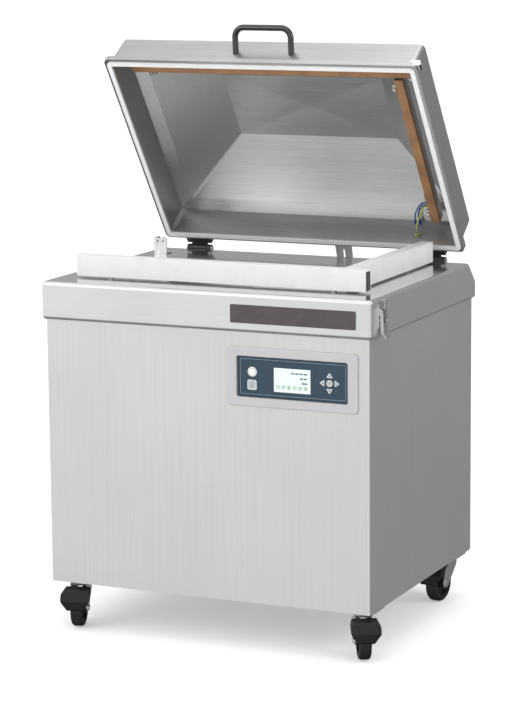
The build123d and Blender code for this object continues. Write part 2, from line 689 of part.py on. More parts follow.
def make_hinge_bases():
    """Two hinge bases on the table's sloping back edge, each with a pair of lugs."""
    bases = []
    thick = 3.5
    low, high = 4, 62
    root = math.sqrt(0.5)

    def on_slope(along, out):
        return (TABLE_FLAT_END + (along + out) * root, TABLE_TOP + (out - along) * root)

    plate = [on_slope(low, 0), on_slope(high, 0), on_slope(high, thick), on_slope(low, thick)]
    ear_top = HINGE_Z + 6
    cheek = [on_slope(6, 0), on_slope(32, 0), (HINGE_Y + 8, ear_top), (HINGE_Y - 8, ear_top)]
    for side in (-1, 1):
        middle = side * HINGE_X
        base = prism_x(plate, (middle - HINGE_HALF, middle + HINGE_HALF))
        for lug in (-1, 1):
            wide = sorted((middle + lug * LUG_INNER, middle + lug * LUG_OUTER))
            base = base + prism_x(cheek, wide)
            base = base + rod((wide[0], HINGE_Y, HINGE_Z), (wide[1], HINGE_Y, HINGE_Z), KNUCKLE_RADIUS)
        bore_start = (middle - HINGE_HALF, HINGE_Y, HINGE_Z)
        bore_end = (middle + HINGE_HALF, HINGE_Y, HINGE_Z)
        base = base - rod(bore_start, bore_end, PIN_RADIUS + PIN_CLEARANCE)
        for place in (40, 54):
            for across in (-24, 24):
                start = (middle + across, *on_slope(place, thick - 0.5))
                end = (middle + across, *on_slope(place, thick + 2.5))
                base = base + rod(start, end, 5)
        bases.append(base)
    return group(*bases)


def make_hinge_pins():
    """The two hinge pins with their end washers."""
    pins = []
    for side in (-1, 1):
        middle = side * HINGE_X
        half = LUG_OUTER + 2
        pin = rod((middle - half, HINGE_Y, HINGE_Z), (middle + half, HINGE_Y, HINGE_Z), PIN_RADIUS)
        for end in (-1, 1):
            near = middle + end * (LUG_OUTER + 0.2)
            far = middle + end * half
            pin = pin + rod((near, HINGE_Y, HINGE_Z), (far, HINGE_Y, HINGE_Z), 8.5)
        pins.append(pin)
    return group(*pins)


def make_spring_arm(hood_outer):
    """Forked arm behind the lid for the gas spring; its pin stubs stop short of the spring's eye."""
    pin_y = HINGE_Y + CRANK_RADIUS * math.cos(math.radians(CRANK_ANGLE))
    pin_z = HINGE_Z + CRANK_DROP
    cheek = [
        (HINGE_Y - 55, HINGE_Z + 24),
        (HINGE_Y - 12, HINGE_Z + 18),
        (HINGE_Y + 10, HINGE_Z + 12),
        (pin_y, pin_z - 13),
        (pin_y + 12, pin_z - 6),
        (pin_y + 12, pin_z + 9),
        (pin_y - 4, pin_z + 15),
        (HINGE_Y - 14, HINGE_Z + 62),
        (HINGE_Y - 55, HINGE_Z + 66),
    ]
    arm = None
    for side in (-1, 1):
        wide = sorted((SPRING_X + side * CLEVIS_INNER, SPRING_X + side * CLEVIS_OUTER))
        plate = prism_x(cheek, wide, [0, 6, 6, 8, 8, 8, 8, 10, 0])
        near = SPRING_X + side * (EYE_HALF + 0.5)
        far = SPRING_X + side * (CLEVIS_OUTER + 4)
        plate = plate + rod((near, pin_y, pin_z), (far, pin_y, pin_z), SPRING_PIN_RADIUS)
        head = (SPRING_X + side * CLEVIS_OUTER, pin_y, pin_z)
        plate = plate + hexagon(head, (far, pin_y, pin_z), 7.5)
        arm = plate if arm is None else arm + plate
    web = [
        (HINGE_Y - 55, HINGE_Z + 26),
        (HINGE_Y - 4, HINGE_Z + 20),
        (HINGE_Y - 4, HINGE_Z + 26),
        (HINGE_Y - 55, HINGE_Z + 32),
    ]
    arm = arm + prism_x(web, (SPRING_X - CLEVIS_INNER, SPRING_X + CLEVIS_INNER))
    return arm - hood_outer


def make_latch_keeper(hood_outer):
    """Keeper block on the right of the lid's rim that the latch hook pulls down on."""
    z = RIM_Z
    keeper_outline = [
        (428, z + 5),
        (455, z + 5),
        (459, z + 9),
        (459, z + 14),
        (454, z + 14),
        (454, z + 25),
        (428, z + 25),
    ]
    keeper = prism_y(keeper_outline, latch_wide(9))
    rim_size = (2 * RIM_OUTER_X, 2 * (RIM_OUTER_X - WIDTH_OVER_DEPTH))
    rim_outside = rounded_slab((0, LID_MID_Y), rim_size, (RIM_Z, RIM_Z + RIM_HEIGHT), 14)
    return keeper - hood_outer - rim_outside


def tab_bar(x, y, tabs):
    """A sealing bar's holder: hollow-backed bar with a tab for each stud beside it."""
    bar = block(x, y, (RIM_Z + SEAL_LOW, RIM_Z + SEAL_HIGH))
    end_wall, side_wall = 6, 5
    along_x = x[1] - x[0] > y[1] - y[0]
    wall_x, wall_y = (end_wall, side_wall) if along_x else (side_wall, end_wall)
    slot_z = (RIM_Z + SEAL_LOW + 12, RIM_Z + SEAL_HIGH)
    bar = bar - block((x[0] + wall_x, x[1] - wall_x), (y[0] + wall_y, y[1] - wall_y), slot_z)
    for tab in tabs:
        bar = bar + block(*tab, (RIM_Z + SEAL_TAB[0], RIM_Z + SEAL_TAB[1]))
    for stud_x, stud_y in STUD_PLACES:
        bar = bar - rod((stud_x, stud_y, RIM_Z + 70), (stud_x, stud_y, RIM_Z + 90), STUD_RADIUS + 0.05)
    return bar


def make_seal_bar_front():
    """Aluminium sealing bar along the front of the lid."""
    tabs = []
    for stud_x, stud_y in STUD_PLACES[:2]:
        tabs.append(((stud_x - 11, stud_x + 11), (SEAL_FRONT_Y[1], stud_y + 9)))
    return tab_bar(SEAL_FRONT_X, SEAL_FRONT_Y, tabs)


def make_seal_bar_side():
    """Aluminium sealing bar along the right side of the lid."""
    tabs = []
    for stud_x, stud_y in STUD_PLACES[2:]:
        tabs.append(((stud_x - 9, SEAL_SIDE_X[0]), (stud_y - 10, stud_y + 10)))
    return tab_bar(SEAL_SIDE_X, SEAL_SIDE_Y, tabs)


def make_seal_tapes():
    """Brown non-stick tapes wrapped over the lower edge of each sealing bar."""
    tapes = []
    for x, y in ((SEAL_FRONT_X, SEAL_FRONT_Y), (SEAL_SIDE_X, SEAL_SIDE_Y)):
        along_x = x[1] - x[0] > y[1] - y[0]
        wrap_x = x if along_x else (x[0] - TAPE, x[1] + TAPE)
        wrap_y = (y[0] - TAPE, y[1] + TAPE) if along_x else y
        wrap = block(wrap_x, wrap_y, (RIM_Z + SEAL_LOW - 1.5, RIM_Z + SEAL_LOW + 10))
        tapes.append(wrap - block(x, y, (RIM_Z + SEAL_LOW, RIM_Z + SEAL_HIGH)))
    return group(*tapes)


def make_lid_studs(hood_hollow):
    """Studs with domed nuts that hang the sealing bars, and the earth bolt on the hood's back wall."""
    pieces = []
    for x, y in STUD_PLACES:
        stud = rod((x, y, RIM_Z + 70), (x, y, RIM_Z + 190), STUD_RADIUS) & hood_hollow
        nut = hexagon((x, y, RIM_Z + 71), (x, y, RIM_Z + SEAL_TAB[0]), 7)
        dome = rod((x, y, RIM_Z + 65), (x, y, RIM_Z + 71), 5.5)
        dome = fillet(dome.edges().group_by(Axis.Z)[0], 3.5)
        pieces.append(stud + nut + dome)
    x, w = EARTH_BOLT
    bolt = rod((x, 282, RIM_Z + w), (x, 305, RIM_Z + w), STUD_RADIUS)
    bolt = bolt + hexagon((x, 282, RIM_Z + w), (x, 287, RIM_Z + w), 7.5)
    bolt = bolt + rod((x, 294, RIM_Z + w), (x, 296, RIM_Z + w), 10)
    pieces.append(bolt & hood_hollow)
    return group(*pieces)


def lid_route(points):
    """Lead points given as (x, y, w) moved up to the rim plane."""
    return [(x, y, RIM_Z + w) for x, y, w in points]


def make_seal_leads_blue(hood_hollow):
    """Two blue leads that feed the sealing bars, arching from the side bar to their wall glands."""
    pieces = []
    for route in BLUE_ROUTES:
        pieces.append(tube_along(lid_route(route), LEAD_RADIUS))
    for x, w in LEAD_GLANDS:
        gland = rod((x, LEAD_WALL_Y, RIM_Z + w), (x, 305, RIM_Z + w), 4.5)
        pieces.append(gland & hood_hollow)
    return group(*pieces)


def make_seal_lead_earth():
    """Yellow-green earth lead from the side bar to its ring lug on the back wall's bolt."""
    x, w = EARTH_BOLT
    lug = rod((x, 289.5, RIM_Z + w), (x, 292.5, RIM_Z + w), 7)
    lead = tube_along(lid_route(EARTH_ROUTE), LEAD_RADIUS) + lug
    return lead - rod((x, 289, RIM_Z + w), (x, 293, RIM_Z + w), STUD_RADIUS + 0.05)


def make_seal_lead_black():
    """Black leads: a loop over the side bar, and short ones from the sleeves beside the front bar."""
    pieces = []
    for route in BLACK_ROUTES:
        pieces.append(tube_along(lid_route(route), LEAD_RADIUS))
    return group(*pieces)


def make_lead_sleeves():
    """Red sleeves over the terminals of the sealing bars."""
    pieces = []
    for y, w in SIDE_SLEEVES:
        pieces.append(rod((SLEEVE_END_X, y, RIM_Z + w), (SEAL_SIDE_X[0], y, RIM_Z + w), SLEEVE_RADIUS))
    y, w = FRONT_SLEEVE_YW
    for start, end in FRONT_SLEEVES:
        pieces.append(rod((start, y, RIM_Z + w), (end, y, RIM_Z + w), SLEEVE_RADIUS))
    return group(*pieces)


# ---- counter bars ----
def counter_bar(x, y, places):
    """A white counter bar with its two lift rods."""
    bar = block(x, y, (COUNTER_LOW, COUNTER_HIGH))
    pieces = [bar]
    for rod_x, rod_y in places:
        pieces.append(rod((rod_x, rod_y, LIFT_ROD_LOW), (rod_x, rod_y, COUNTER_LOW), LIFT_ROD_RADIUS))
    return group(*pieces)


def silicone_strip(x, y):
    """The silicone strip that the sealing bar presses on."""
    if x[1] - x[0] > y[1] - y[0]:
        return block(x, (y[0] + 2, y[1] - 2), (COUNTER_HIGH, COUNTER_HIGH + SILICONE))
    return block((x[0] + 2, x[1] - 2), y, (COUNTER_HIGH, COUNTER_HIGH + SILICONE))


def make_lift_cylinders():
    """Four air cylinders under the table that lift the counter bars."""
    pieces = []
    high = TABLE_TOP - TABLE_SHEET
    for x, y in LIFT_PLACES_FRONT + LIFT_PLACES_SIDE:
        body = rod((x, y, high - 73), (x, y, high), 22)
        body = body + rod((x, y, high - 5), (x, y, high), 29)
        body = body - rod((x, y, LIFT_ROD_LOW - 2), (x, y, high), LIFT_ROD_RADIUS + 0.05)
        body = body + rod((x, y, high - 88), (x, y, high - 73), 7)
        pieces.append(body)
    return group(*pieces)


# ---- latch ----
def latch_wide(half):
    """The latch's Y range, half to each side of its middle."""
    return (LATCH_Y - half, LATCH_Y + half)


def make_latch_base():
    """Latch base plate with two ears and the lever's pivot."""
    x, z = LATCH_PIVOT
    plate = block((BAND_X, BAND_X + 2), latch_wide(17), (TABLE_TOP - 75, TABLE_TOP - 15))
    for side in (-1, 1):
        near = LATCH_Y + side * 14.6
        far = LATCH_Y + side * 17
        ear = [(BAND_X, z - 10), (x + 4, z - 4), (x + 4, z + 4), (BAND_X, z + 12)]
        plate = plate + prism_y(ear, sorted((near, far)))
    for rivet_z in (TABLE_TOP - 66, TABLE_TOP - 22):
        plate = plate + rod((BAND_X + 1, LATCH_Y, rivet_z), (BAND_X + 3, LATCH_Y, rivet_z), 3)
    return plate + rod((x, LATCH_Y - 17.5, z), (x, LATCH_Y + 17.5, z), 2.5)


def make_latch_lever():
    """Latch lever: two cheeks on the pivot, joined by a front plate that curls out at its tip."""
    x, z = LATCH_PIVOT
    link_x, link_z = LATCH_LINK
    tip = TABLE_TOP - 92
    cheek = [(x - 4, z + 4), (x + 4, z + 4), (x + 5, tip), (x - 1, tip), (x - 4, z - 20)]
    front = [
        (x + 3, link_z - 10),
        (x + 5, link_z - 10),
        (x + 5, tip + 2),
        (x + 13, tip - 7),
        (x + 11.5, tip - 8.5),
        (x + 3, tip + 1),
    ]
    lever = prism_y(front, latch_wide(14))
    for side in (-1, 1):
        lever = lever + prism_y(cheek, sorted((LATCH_Y + side * 12, LATCH_Y + side * 14)))
    lever = lever - rod((x, LATCH_Y - 15, z), (x, LATCH_Y + 15, z), 2.56)
    return lever + rod((link_x, LATCH_Y - 14, link_z), (link_x, LATCH_Y + 14, link_z), 2)


def make_latch_hook():
    """Latch hook: flat strip with an eye round the lever's cross pin and a turned-in top."""
    x, z = LATCH_LINK
    high = TABLE_TOP - 5
    strip = block((x + 4.6, x + 6.1), latch_wide(6), (z - 2, high))
    strip = strip + block((x - 4, x + 6.1), latch_wide(6), (high - 1.5, high))
    eye = rod((x, LATCH_Y - 6, z), (x, LATCH_Y + 6, z), 4.5)
    strip = strip + eye + block((x, x + 6.1), latch_wide(6), (z - 2, z + 2))
    return strip - rod((x, LATCH_Y - 7, z), (x, LATCH_Y + 7, z), 2.06)


# ---- gas spring ----
def make_spring_bracket():
    """Bracket on the back of the cabinet with the pin for the gas spring's foot."""
    foot_plate = (SPRING_FOOT_Z - 30, SPRING_FOOT_Z + 30)
    bracket = block((SPRING_X - 20, SPRING_X + 20), (BODY_Y, BODY_Y + 3), foot_plate)
    ear = [
        (BODY_Y, SPRING_FOOT_Z - 20),
        (SPRING_Y + 11, SPRING_FOOT_Z - 11),
        (SPRING_Y + 11, SPRING_FOOT_Z + 11),
        (BODY_Y, SPRING_FOOT_Z + 20),
    ]
    for side in (-1, 1):
        bracket = bracket + prism_x(ear, sorted((SPRING_X + side * 10, SPRING_X + side * 14)))
    foot = (SPRING_Y, SPRING_FOOT_Z)
    return bracket + rod((SPRING_X - 17, *foot), (SPRING_X + 17, *foot), SPRING_PIN_RADIUS)


def make_gas_spring_cylinder():
    """Gas spring body with its foot eye, bored for the piston rod."""
    low, high = SPRING_BODY
    body = rod((SPRING_X, SPRING_Y, low), (SPRING_X, SPRING_Y, high), 9.5)
    body = body + rod((SPRING_X, SPRING_Y, SPRING_FOOT_Z), (SPRING_X, SPRING_Y, low), 5)
    eye_start = (SPRING_X - EYE_HALF, SPRING_Y, SPRING_FOOT_Z)
    eye_end = (SPRING_X + EYE_HALF, SPRING_Y, SPRING_FOOT_Z)
    bore = SPRING_PIN_RADIUS + PIN_CLEARANCE
    body = body + rod(eye_start, eye_end, EYE_RADIUS)
    body = body - rod(eye_start, eye_end, bore)
    return body - rod((SPRING_X, SPRING_Y, PISTON_LOW - 10), (SPRING_X, SPRING_Y, high), bore)


def make_gas_spring_rod():
    """Piston rod with the eye that rides between the lid arm's cheeks, drawn with the lid open."""
    top = HINGE_Z - CRANK_DROP
    eye_start = (SPRING_X - EYE_HALF, SPRING_Y, top)
    eye_end = (SPRING_X + EYE_HALF, SPRING_Y, top)
    piston = rod((SPRING_X, SPRING_Y, PISTON_LOW), (SPRING_X, SPRING_Y, top), SPRING_PIN_RADIUS)
    piston = piston + rod(eye_start, eye_end, EYE_RADIUS)
    return piston - rod(eye_start, eye_end, SPRING_PIN_RADIUS + PIN_CLEARANCE)


# ---- casters: drawn at the origin with the wheel trailing towards -Y ----
def make_caster_plate():
    """Top plate and fixed half of the swivel bearing, with the king pin and its nut."""
    plate = rounded_slab((0, 0), (98, 74), (BODY_BOTTOM - 4, BODY_BOTTOM), 6)
    plate = plate + rod((0, 0, FORK_TOP + 0.3), (0, 0, BODY_BOTTOM - 4), 28)
    plate = plate + rod((0, 0, FORK_TOP - 6), (0, 0, FORK_TOP + 0.3), 6)
    plate = plate + hexagon((0, 0, FORK_TOP - 10), (0, 0, FORK_TOP - 4.4), 9.5)
    for dx, dy in BOLT_OFFSETS:
        plate = plate - rod((dx, dy, BODY_BOTTOM - 4), (dx, dy, BODY_BOTTOM), BOLT_RADIUS + 0.05)
    return plate


def make_caster_bolt(x, y):
    """One plate bolt: head under the plate, nut on the tray."""
    bolt = rod((x, y, BODY_BOTTOM - 9), (x, y, BODY_BOTTOM + 14), BOLT_RADIUS)
    bolt = bolt + hexagon((x, y, BODY_BOTTOM - 9), (x, y, BODY_BOTTOM - 4), 7)
    return bolt + hexagon((x, y, BODY_BOTTOM + BASE_SHEET), (x, y, BODY_BOTTOM + BASE_SHEET + 6), 7)


def make_caster_fork():
    """Pressed fork with its turning race, two legs, the axle bolt and the pedal's two pins."""
    leg_outline = [
        (28, FORK_TOP),
        (-36, FORK_TOP),
        (-TRAIL - 14, WHEEL_RADIUS + 4),
        (-TRAIL - 10, WHEEL_RADIUS - 12),
        (-TRAIL + 10, WHEEL_RADIUS - 12),
        (24, 92),
    ]
    inner = FORK_GAP / 2
    outer = inner + FORK_SHEET
    fork = rod((0, 0, FORK_TOP - 4), (0, 0, FORK_TOP), 31)
    fork = fork + block((-outer, outer), (-36, 28), (FORK_TOP - 4, FORK_TOP))
    for side in (-1, 1):
        fork = fork + prism_x(leg_outline, sorted((side * inner, side * outer)), [3, 6, 10, 10, 8, 10])
    fork = fork - rod((0, 0, FORK_TOP - 4), (0, 0, FORK_TOP), 6 + PIN_CLEARANCE)
    axle = (-TRAIL, WHEEL_RADIUS)
    fork = fork + rod((-outer - 4, *axle), (outer + 4, *axle), AXLE_RADIUS)
    for side in (-1, 1):
        fork = fork + hexagon((side * outer, *axle), (side * (outer + 5), *axle), 8)
        fork = fork + rod((side * 9.8, *PEDAL_HINGE), (side * outer, *PEDAL_HINGE), PEDAL_PIN_RADIUS)
    return fork


def make_caster_wheel():
    """Rubber tyre on a moulded hub, turning on the axle bolt."""
    axle = (-TRAIL, WHEEL_RADIUS)
    half = WHEEL_WIDTH / 2
    rim = WHEEL_RADIUS - 13
    tyre = rod((-half, *axle), (half, *axle), WHEEL_RADIUS)
    tyre = fillet(tyre.edges(), 8)
    tyre = tyre - rod((-half, *axle), (half, *axle), rim)
    hub = rod((-half + 2, *axle), (half - 2, *axle), rim)
    for side in (-1, 1):
        recess = rod((side * 7, *axle), (side * half, *axle), rim - 5)
        hub = hub - (recess - rod((side * 7, *axle), (side * half, *axle), 14))
        hub = hub + rod((side * 5, *axle), (side * (FORK_GAP / 2 - 0.6), *axle), 11)
    hub = hub - rod((-FORK_GAP / 2, *axle), (FORK_GAP / 2, *axle), AXLE_RADIUS + PIN_CLEARANCE)
    return group(tyre, hub)


def make_caster_pedal():
    """Brake pedal: a wide moulded hood over the wheel, with two arms hinged between the fork's legs."""
    right_half = [(30, 112), (38.5, 98), (38, 80), (20, 54)]
    left_half = [(-x, z) for x, z in reversed(right_half)]
    front_view = left_half[-1:] + right_half + left_half[:-1]
    side_view = [(-42, 111), (-88, 109), (-104, 84), (-100, 56), (-80, 52), (-42, 98)]
    pedal = prism_y(front_view, (-112, -30), [10, 10, 9, 12, 6, 6, 12, 9])
    pedal = pedal & prism_x(side_view, (-50, 50), [2, 16, 14, 6, 4, 2])
    axle = (-TRAIL, WHEEL_RADIUS)
    pedal = pedal - rod((-60, *axle), (60, *axle), WHEEL_RADIUS + PEDAL_CLEARANCE)
    clear = FORK_GAP / 2 + FORK_SHEET + 0.8
    for side in (-1, 1):
        leg_room = sorted((side * (FORK_GAP / 2 - 1), side * clear))
        pedal = pedal - block(leg_room, (-66, -20), (40, 109))
    pedal = pedal - block((-50, 50), (-52, -20), (FORK_TOP - 6, FORK_TOP + 3))
    hinge_y, hinge_z = PEDAL_HINGE
    arm = [
        (hinge_y + 6, 106.5),
        (-66, 107),
        (-66, 103),
        (-18, 103),
        (hinge_y - 3, 94),
        (hinge_y + 6, 94),
    ]
    for side in (-1, 1):
        wide = sorted((side * 10, side * (FORK_GAP / 2 - 1)))
        pedal = pedal + prism_x(arm, wide)
    return pedal - rod((-30, *PEDAL_HINGE), (30, *PEDAL_HINGE), PEDAL_PIN_RADIUS + PIN_CLEARANCE)


# ---- build every node ----
nodes["base_frame"] = make_base_frame()
nodes["front_panel"] = make_front_panel()
nodes["side_panels"] = make_side_panels()
nodes["rear_panel"] = make_rear_panel()
nodes["table_top"] = make_table_top()
nodes["name_plate"] = make_name_plate()
nodes["vacuum_port"] = make_vacuum_port()
nodes["corner_post"] = make_corner_post()
nodes["power_inlet"] = make_power_inlet()

nodes["control_bezel"] = make_control_bezel()
nodes["control_face"] = make_control_face()
nodes["control_display"] = make_control_display()
nodes["stop_button"] = make_stop_button()
nodes["menu_button"] = make_menu_button()
nodes["arrow_pad"] = make_arrow_pad()
nodes["enter_key"] = make_enter_key()
nodes["control_board"] = make_control_board()

nodes["vacuum_pump"] = make_vacuum_pump()
nodes["pump_motor"] = make_pump_motor()
nodes["suction_hose"] = make_suction_hose()
nodes["seal_transformer"] = make_seal_transformer()

hood_outer = hood_body(0)
hood_hollow = hood_body(LID_SHEET)
lid_nodes["lid_hood"] = make_lid_hood()
lid_nodes["lid_gasket"] = make_lid_gasket()
lid_nodes["lid_handle"] = make_lid_handle(hood_outer)
lid_nodes["latch_keeper"] = make_latch_keeper(hood_outer)
lid_nodes["hinge_arms"] = make_hinge_arms(hood_outer)
lid_nodes["spring_arm"] = make_spring_arm(hood_outer)
lid_nodes["seal_bar_front"] = make_seal_bar_front()
lid_nodes["seal_bar_side"] = make_seal_bar_side()
lid_nodes["seal_tapes"] = make_seal_tapes()
lid_nodes["lid_studs"] = make_lid_studs(hood_hollow)
lid_nodes["seal_leads_blue"] = make_seal_leads_blue(hood_hollow)
lid_nodes["seal_lead_earth"] = make_seal_lead_earth()
lid_nodes["seal_lead_black"] = make_seal_lead_black()
lid_nodes["lead_sleeves"] = make_lead_sleeves()
hinge_axis = Axis((0, HINGE_Y, HINGE_Z), (1, 0, 0))
for name, shape in lid_nodes.items():
    nodes[name] = shape.rotate(hinge_axis, -LID_OPEN)

nodes["hinge_bases"] = make_hinge_bases()
nodes["hinge_pins"] = make_hinge_pins()
nodes["gas_spring_cylinder"] = group(make_gas_spring_cylinder(), make_spring_bracket())
nodes["gas_spring_rod"] = make_gas_spring_rod()

nodes["latch_base"] = make_latch_base()
nodes["latch_lever"] = make_latch_lever()
nodes["latch_hook"] = make_latch_hook()

nodes["counter_bar_front"] = counter_bar(COUNTER_FRONT_X, COUNTER_FRONT_Y, LIFT_PLACES_FRONT)
nodes["counter_bar_side"] = counter_bar(COUNTER_SIDE_X, COUNTER_SIDE_Y, LIFT_PLACES_SIDE)
nodes["silicone_strip_front"] = silicone_strip(COUNTER_FRONT_X, COUNTER_FRONT_Y)
nodes["silicone_strip_side"] = silicone_strip(COUNTER_SIDE_X, COUNTER_SIDE_Y)
nodes["lift_cylinders"] = make_lift_cylinders()

caster_plates = []
for name, (pivot_x, pivot_y, turn) in CASTERS.items():
    place = Pos(pivot_x, pivot_y, 0)
    turned = place * Rot(0, 0, turn)
    caster_plates.append(place * make_caster_plate())
    for dx, dy in BOLT_OFFSETS:
        caster_plates.append(make_caster_bolt(pivot_x + dx, pivot_y + dy))
    nodes["caster_fork_" + name] = turned * make_caster_fork()
    nodes["caster_wheel_" + name] = turned * make_caster_wheel()
    nodes["caster_pedal_" + name] = turned * make_caster_pedal()
nodes["caster_plates"] = group(*caster_plates)

# ---- put the origin on the floor under the middle of the whole machine, and write the files ----
whole = Compound([solid for shape in nodes.values() for solid in shape.solids()]).bounding_box()
SHIFT = (-(whole.min.X + whole.max.X) / 2, -(whole.min.Y + whole.max.Y) / 2, -whole.min.Z)
print("nodes", len(nodes), "shift", [round(value, 4) for value in SHIFT], "size", whole.size)
os.makedirs("parts", exist_ok=True)
for name, shape in nodes.items():
    export_step(group(shape).moved(Location(SHIFT)), "parts/" + name + ".step")
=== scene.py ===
import json
import math

import bmesh
import bpy
from mathutils import Matrix, Vector


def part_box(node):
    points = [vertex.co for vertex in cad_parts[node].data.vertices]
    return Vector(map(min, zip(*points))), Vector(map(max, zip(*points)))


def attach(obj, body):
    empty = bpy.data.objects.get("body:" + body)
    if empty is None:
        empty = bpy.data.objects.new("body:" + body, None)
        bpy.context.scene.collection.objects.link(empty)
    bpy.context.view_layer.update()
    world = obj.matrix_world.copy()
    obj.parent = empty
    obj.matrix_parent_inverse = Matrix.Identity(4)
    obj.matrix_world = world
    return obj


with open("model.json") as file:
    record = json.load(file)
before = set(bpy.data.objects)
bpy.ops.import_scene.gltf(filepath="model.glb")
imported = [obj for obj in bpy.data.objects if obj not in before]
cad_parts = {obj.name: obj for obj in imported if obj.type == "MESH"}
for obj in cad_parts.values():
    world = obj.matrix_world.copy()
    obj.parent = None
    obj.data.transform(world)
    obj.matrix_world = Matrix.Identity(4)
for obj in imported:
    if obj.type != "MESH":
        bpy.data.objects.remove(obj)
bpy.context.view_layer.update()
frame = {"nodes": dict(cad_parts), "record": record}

NODES = frame["nodes"]


# ---- camera ----
CAMERA_PLACE = (2.8669, -6.3389, 1.9375)
CAMERA_YAW = 24.463
CAMERA_PITCH = 10.015
CAMERA_ROLL = -0.509
FOCAL_OVER_HEIGHT = 2641.4 / 706
SENSOR = 36.0

camera_data = bpy.data.cameras.new("camera")
camera_data.sensor_fit = "VERTICAL"
camera_data.sensor_height = SENSOR
camera_data.lens = FOCAL_OVER_HEIGHT * SENSOR
camera_data.clip_end = 200
camera = bpy.data.objects.new("camera", camera_data)
bpy.context.scene.collection.objects.link(camera)
yaw = Matrix.Rotation(math.radians(CAMERA_YAW), 4, "Z")
pitch = Matrix.Rotation(math.radians(90 - CAMERA_PITCH), 4, "X")
roll = Matrix.Rotation(math.radians(CAMERA_ROLL), 4, "Z")
camera.matrix_world = Matrix.Translation(CAMERA_PLACE) @ yaw @ pitch @ roll
bpy.context.scene.camera = camera


# ---- node materials ----
class Looks:
    """Builds one procedural material, with helpers for the patterns that several surfaces share."""

    def __init__(self, name, colour, roughness, metallic=0.0, **sockets):
        self.material = bpy.data.materials.new(name)
        self.material.use_nodes = True
        self.tree = self.material.node_tree
        self.shader = self.tree.nodes["Principled BSDF"]
        self.shader.inputs["Base Color"].default_value = (*colour, 1)
        self.shader.inputs["Roughness"].default_value = roughness
        self.shader.inputs["Metallic"].default_value = metallic
        for socket, value in sockets.items():
            self.shader.inputs[socket.replace("_", " ")].default_value = value
        self.colour = colour
        self.roughness = roughness
        self.normal = None
        self.place = self.add("ShaderNodeTexCoord").outputs["Object"]
        self.facing = self.tree.nodes["Texture Coordinate"].outputs["Normal"]

    def add(self, kind):
        return self.tree.nodes.new(kind)

    def link(self, a, b):
        self.tree.links.new(a, b)

    def noise(self, scale, detail=4.0, stretch=(1, 1, 1)):
        """Noise in metres: scale is in waves a metre, stretch makes them longer along an axis."""
        mapping = self.add("ShaderNodeMapping")
        mapping.inputs["Scale"].default_value = stretch
        self.link(self.place, mapping.inputs["Vector"])
        node = self.add("ShaderNodeTexNoise")
        node.inputs["Scale"].default_value = scale
        node.inputs["Detail"].default_value = detail
        self.link(mapping.outputs["Vector"], node.inputs["Vector"])
        return node.outputs["Fac"]

    def remap(self, value, low, high, start=0.3, end=0.7):
        node = self.add("ShaderNodeMapRange")
        node.inputs["From Min"].default_value = start
        node.inputs["From Max"].default_value = end
        node.inputs["To Min"].default_value = low
        node.inputs["To Max"].default_value = high
        self.link(value, node.inputs["Value"])
        return node.outputs["Result"]

    def tint(self, value, dark, light, start=0.3, end=0.7):
        """Base colour between two shades."""
        ramp = self.add("ShaderNodeValToRGB")
        ramp.color_ramp.elements[0].position = start
        ramp.color_ramp.elements[1].position = end
        ramp.color_ramp.elements[0].color = (*[c * dark for c in self.colour], 1)
        ramp.color_ramp.elements[1].color = (*[min(c * light, 1) for c in self.colour], 1)
        self.link(value, ramp.inputs["Fac"])
        self.link(ramp.outputs["Color"], self.shader.inputs["Base Color"])
        return self

    def blend(self, a, b, share):
        """A mix of two patterns, with a share of the second."""
        node = self.add("ShaderNodeMix")
        node.inputs["Factor"].default_value = share
        self.link(a, node.inputs["A"])
        self.link(b, node.inputs["B"])
        return node.outputs["Result"]

    def rough(self, value, spread):
        low = max(self.roughness - spread, 0.02)
        high = min(self.roughness + spread, 1)
        self.link(self.remap(value, low, high), self.shader.inputs["Roughness"])
        return self

    def bump(self, value, height):
        node = self.add("ShaderNodeBump")
        node.inputs["Strength"].default_value = 1.0
        node.inputs["Distance"].default_value = height
        self.link(value, node.inputs["Height"])
        if self.normal is not None:
            self.link(self.normal, node.inputs["Normal"])
        self.normal = node.outputs["Normal"]
        self.link(self.normal, self.shader.inputs["Normal"])
        return self


# sheet steel is drawn along one axis, so its noise is stretched along it
GRAIN = {"X": (0.012, 1, 1), "Y": (1, 0.012, 1), "Z": (1, 1, 0.012)}
GRAIN_SCALE = 900
STREAK_SCALE = 260
CLOUD_START = 0.38
CLOUD_END = 0.62


def brushed(name, colour, roughness, along, clouds=1.035, groove=0.00002, metallic=0.9):
    """Sheet steel: fine drawn grain along one axis, faint clouds and smears in its polish."""
    looks = Looks(name, colour, roughness, metallic)
    grain = looks.noise(GRAIN_SCALE, 3, GRAIN[along])
    streaks = looks.noise(STREAK_SCALE, 4, GRAIN[along])
    smear = looks.noise(3.2, 3)
    marks = looks.blend(streaks, smear, 0.5)
    looks.tint(marks, 2 - clouds, clouds, CLOUD_START, CLOUD_END)
    looks.rough(grain, 0.07)
    looks.bump(streaks, groove * 2)
    looks.bump(grain, groove)
    return looks.bump(smear, 0.0004).material


def polished(name, colour, roughness):
    """Machined or polished metal with fine turning marks and finger smears."""
    looks = Looks(name, colour, roughness, 1.0)
    smear = looks.noise(60, 4)
    looks.tint(smear, 0.86, 1.05)
    looks.rough(smear, roughness * 0.5)
    return looks.bump(looks.noise(2500, 2), 0.000004).material


def moulded(name, colour, roughness, grit=1800, height=0.00001, dirt=0.12, **sockets):
    """Moulded plastic or rubber: fine texture, light dust and handling marks."""
    looks = Looks(name, colour, roughness, 0.0, **sockets)
    dust = looks.noise(35, 5)
    looks.tint(dust, 1 - dirt, 1 + dirt)
    looks.rough(dust, 0.08)
    return looks.bump(looks.noise(grit, 3), height).material


